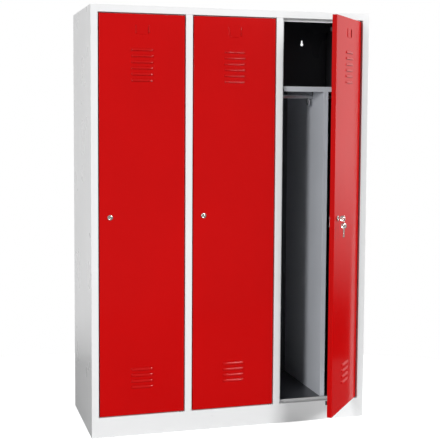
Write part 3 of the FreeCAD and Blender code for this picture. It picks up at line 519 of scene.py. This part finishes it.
# Locks: a brass case with a turning plug, nickel plated and polished, which goes through the skin
# and is held by a clip behind it. A turned rim stands round the plug on the lock's face.
nickel = plated("nickel_plate", (0.66, 0.64, 0.60), (0.80, 0.78, 0.74), 0.14, 0.26, 160.0, 3.0)
dress(nickel, "lock_body", "lock_plug")


def lathed(profile, bay, across, level, steps=72):
    """A closed outline of (radius, depth) pairs turned about a lock's axis, into the door."""
    radius, depth = np.array(profile).T[:, None, :]
    turn = np.linspace(0.0, 2.0 * math.pi, steps, endpoint=False)[:, None]
    grid = np.broadcast_arrays(
        across + radius * np.cos(turn), depth, level + radius * np.sin(turn),
    )
    points = on_door(bay, np.stack(grid, axis=-1)).reshape(-1, 3)
    return points, quads(steps, len(profile), round_rows=True, round_columns=True)


lock_across, lock_level = -306.0, 928.0
rim_profile = [
    (11.05, -8.0), (11.1, -8.5), (11.1, -10.0), (10.9, -10.5), (10.3, -11.0), (9.6, -11.3),
    (8.8, -11.4), (8.1, -11.3), (7.7, -11.1), (7.4, -11.05), (6.9, -11.1), (6.6, -11.25),
    (6.3, -11.3), (6.12, -11.2), (6.1, -11.0), (6.1, -10.6), (8.0, -9.5),
]
for bay in (1, 2, 3):
    rim = lathed(rim_profile, bay, lock_across, lock_level)
    new_piece(f"lock_rim_{bay}", [rim], nickel, f"door_{bay}")


# Keys and their ring: stamped from nickel plated brass, with a hollowed bow and cuts along the blade.
# The ring is a flat spring wire wound twice round. One key stands in the open door's lock, and the
# spare one hangs from it on the ring.
def key_bow(middle, eye, plane):
    """A closed rim outline carried round the bow, between the eye's circle and a rounded square."""
    eye_radius, bow_half, squareness = 2.5, 11.9, 2.7
    share = np.array([
        0.10, 0.16, 0.30, 0.36, 0.74, 0.80, 0.92, 0.985, 1.0, 1.0, 0.985,
        0.92, 0.80, 0.74, 0.36, 0.30, 0.16, 0.10, 0.02, 0.0, 0.0, 0.02,
    ])
    thick = np.array([
        1.0, 1.0, 1.0, 0.72, 0.72, 1.0, 1.0, 0.86, 0.6, -0.6, -0.86,
        -1.0, -1.0, -0.72, -0.72, -1.0, -1.0, -1.0, -0.86, -0.6, 0.6, 0.86,
    ])
    turn = np.linspace(0.0, 2.0 * math.pi, 64, endpoint=False)[:, None]
    round_u, round_v = np.cos(turn), np.sin(turn)
    blunt = (np.abs(round_u) ** squareness + np.abs(round_v) ** squareness) ** (-1 / squareness)
    eye_u, eye_v = eye[0] + eye_radius * round_u, eye[1] + eye_radius * round_v
    edge_u, edge_v = middle[0] + bow_half * blunt * round_u, middle[1] + bow_half * blunt * round_v
    u = (1.0 - share) * eye_u + share * edge_u
    v = (1.0 - share) * eye_v + share * edge_v
    points = plane(u, v, np.broadcast_to(thick, u.shape))
    return points.reshape(-1, 3), quads(len(turn), len(share), round_rows=True, round_columns=True)


def key_blade(root, tip, middle, cuts, plane):
    """A grooved section carried along the blade; one edge dips at the cuts and the end tapers."""
    half, cut_half, taper_length = 3.75, 1.1, 3.0
    run = np.linspace(0.0, 1.0, 97)[:, None]
    along = root + (tip - root) * run
    away = np.abs(along - root)
    dips = sum(depth * np.exp(-((away - place) / cut_half) ** 4) for place, depth in cuts)
    taper = np.clip(np.abs(tip - along) / taper_length, 0.02, 1.0) ** 0.5
    side = np.array([
        -1.0, -0.92, -0.35, -0.2, 0.1, 0.25, 0.9, 1.0,
        1.0, 0.9, 0.25, 0.1, -0.2, -0.35, -0.92, -1.0,
    ])
    thick = np.array([
        0.7, 1.0, 1.0, 0.55, 0.55, 1.0, 1.0, 0.7,
        -0.7, -1.0, -1.0, -0.55, -0.55, -1.0, -1.0, -0.7,
    ])
    reach = np.where(side > 0.0, half - dips, half) * taper
    thinned = thick * np.minimum(taper + 0.2, 1.0)
    points = plane(*np.broadcast_arrays(along, middle + side * reach, thinned))
    return points.swapaxes(0, 1).reshape(-1, 3), tube_quads(len(side), len(run))


def standing(u, v, w):
    """Places a point of the inserted key: u out of the door, v up, w across the key."""
    return on_door(3, np.stack([lock_across + w, u, v], axis=-1))


def hanging(u, v, w):
    """Places a point of the spare key: u up the key, v out of the door, w across the key."""
    return on_door(3, np.stack([lock_across + w, v, u], axis=-1))


def split_ring(reach, level, radius):
    """A flat oval section carried twice round a circle; the second turn lies beside the first."""
    half_width, half_thick, spacing, full_turn = 0.76, 0.38, 0.40, 2.0 * math.pi
    run = np.linspace(0.0, 2.0 * full_turn, 193)[:, None]
    beside = spacing * np.tanh((run - full_turn) / 0.25)
    edge = np.linspace(0.0, full_turn, 12, endpoint=False)
    ends = np.clip(np.minimum(run, 2.0 * full_turn - run) / 0.08, 0.02, 1.0) ** 0.5
    around = radius + half_width * ends * np.cos(edge)
    x = lock_across + around * np.sin(run)
    y = reach + beside + half_thick * ends * np.sin(edge)
    z = level + around * np.cos(run)
    points = on_door(3, np.stack(np.broadcast_arrays(x, y, z), axis=-1))
    return points.swapaxes(0, 1).reshape(-1, 3), tube_quads(len(edge), len(run))


eye_reach = -36.0
spare_cuts = [(16.0, 1.6), (20.0, 0.9), (24.0, 2.0), (28.0, 1.2), (32.0, 1.8)]
shells = [
    key_bow((-30.0, lock_level), (eye_reach, lock_level), standing),
    key_blade(-24.0, 4.4, lock_level, [], standing),
]
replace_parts(new_piece("key_in_lock", shells, nickel, "lock_3"), "key")
shells = [
    key_bow((897.6, eye_reach), (903.6, eye_reach), hanging),
    key_blade(891.5, 847.7, eye_reach, spare_cuts, hanging),
]
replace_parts(new_piece("spare_key_on_ring", shells, nickel, "spare_key"), "spare_key")
shells = [split_ring(eye_reach, level=915.8, radius=11.0)]
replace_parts(new_piece("split_ring", shells, nickel, "key_ring"), "key_ring")


# Hinge bushes and door buffers: the bushes are moulded of black nylon and sit in square holes in
# the ledges, where the pivot studs turn. The buffers are pads of soft black rubber inside each door.
def plain_black(name, gloss_level, grain):
    """Black moulded material with a fine grain."""
    material = bpy.data.materials.new(name)
    material.use_nodes = True
    tree = material.node_tree
    shader = tree.nodes["Principled BSDF"]
    place = tree.nodes.new("ShaderNodeTexCoord").outputs["Object"]
    speckle = noise(tree, place, grain, 3.0, 0.6)
    tone = mixed(tree, speckle, (0.014, 0.014, 0.014), (0.035, 0.035, 0.036))
    dullness = ranged(tree, speckle, 0.3, 0.7, gloss_level - 0.06, gloss_level + 0.06)
    join(tree, (tone, shader.inputs["Base Color"]), (dullness, shader.inputs["Roughness"]))
    return material


dress(plain_black("black_nylon", 0.5, 900.0), "hinge_bushes")
dress(plain_black("black_rubber", 0.8, 1500.0), "door_buffers")
